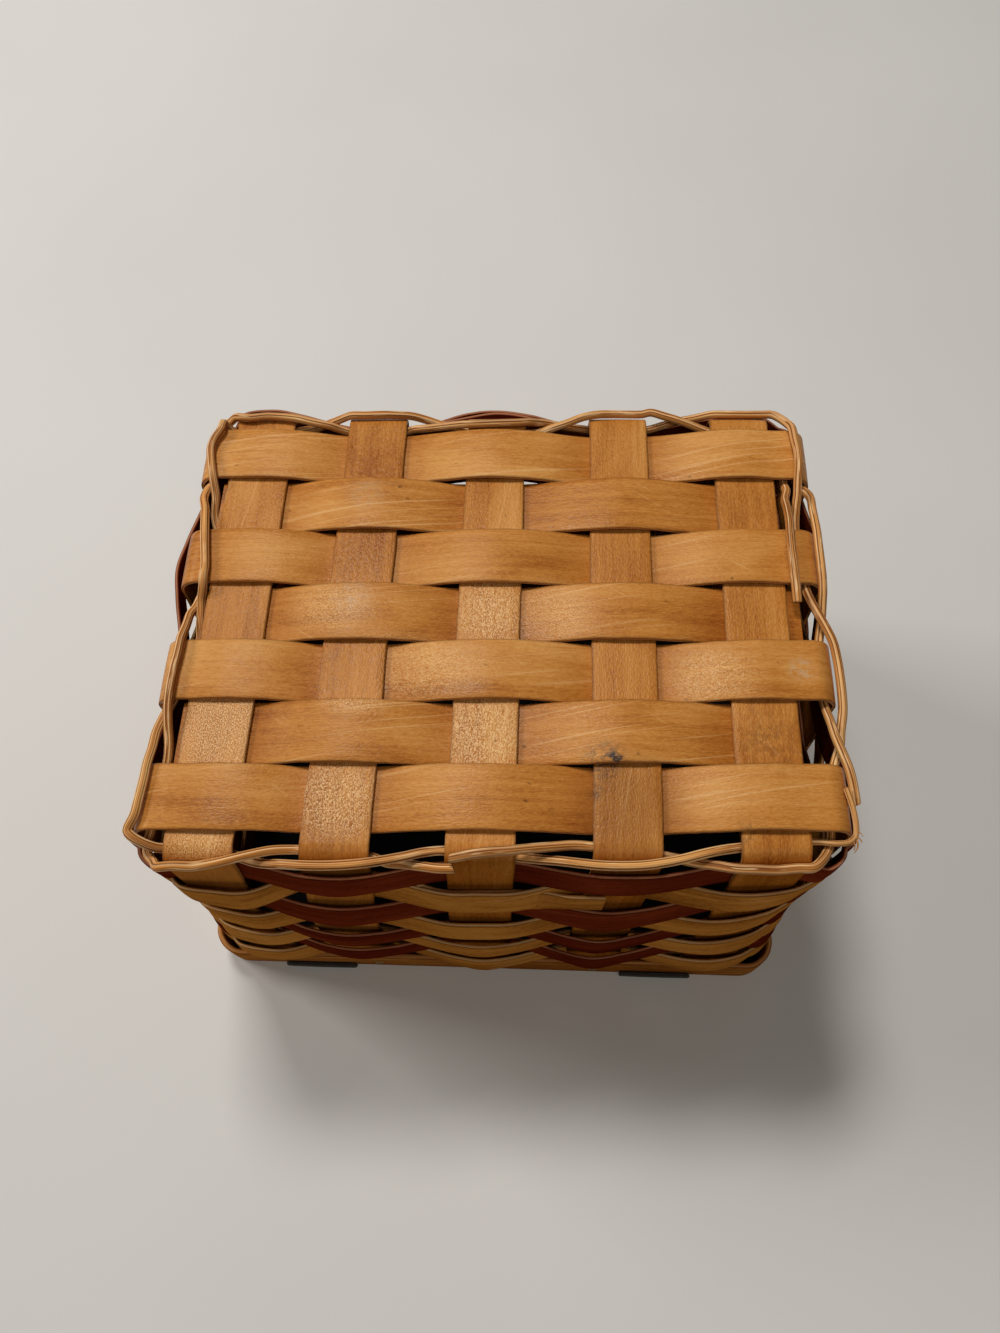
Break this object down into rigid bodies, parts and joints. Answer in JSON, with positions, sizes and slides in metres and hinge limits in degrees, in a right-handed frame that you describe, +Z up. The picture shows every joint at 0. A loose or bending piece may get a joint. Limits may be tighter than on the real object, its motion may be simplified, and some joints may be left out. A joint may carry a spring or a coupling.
{
  "type": "woven splint basket",
  "caption": "Small rectangular basket woven of flat wood splints, with alternating dark and natural side bands, a twined reed round the base edge and a plain hoop rim, stored upturned.",
  "frame": {"origin": "middle of the rim's standing plane, below the middle of the overall box", "axes": "+X along the long side, to the right in the picture; -Y towards the camera; +Z up from the rim to the base, because the basket is stored upturned as pictured. Turned half a turn about X it stands ready for use."},
  "size_m": [0.173, 0.1424, 0.1112],
  "materials": {
    "natural_splint": "honey-brown lacquered wood splint, satin",
    "dark_splint": "dark red-brown stained wood splint, satin",
    "reed": "natural round reed, lacquered, striated",
    "rim_splint": "tan bent-wood hoop, satin",
    "strap_leather": "near-black strap end, matt",
    "brass": "dull brass"
  },
  "bodies": {
    "root": {"base_filler_1": "natural_splint", "base_filler_2": "natural_splint", "base_filler_3": "natural_splint", "dark_weaver_1": "dark_splint", "dark_weaver_2": "dark_splint", "dark_weaver_3": "dark_splint", "dark_weaver_4": "dark_splint", "natural_weaver_1": "natural_splint", "natural_weaver_2": "natural_splint", "natural_weaver_3": "natural_splint", "natural_weaver_4": "natural_splint", "twining_reed_1": "reed", "twining_reed_2": "reed", "twining_reed_3": "reed", "rim_brad_01": "brass", "rim_brad_02": "brass", "rim_brad_03": "brass", "rim_brad_04": "brass", "rim_brad_05": "brass", "rim_brad_06": "brass", "rim_brad_07": "brass", "rim_brad_08": "brass", "rim_brad_09": "brass", "rim_brad_10": "brass", "rim_strap_left": "strap_leather", "rim_strap_right": "strap_leather", "cross_stake_1": "natural_splint", "cross_stake_2": "natural_splint", "cross_stake_3": "natural_splint", "cross_stake_4": "natural_splint", "cross_stake_5": "natural_splint", "long_stake_1": "natural_splint", "long_stake_2": "natural_splint", "long_stake_3": "natural_splint", "long_stake_4": "natural_splint", "rim_outer_hoop": "rim_splint", "rim_inner_hoop": "rim_splint"}
  },
  "joints": []
}
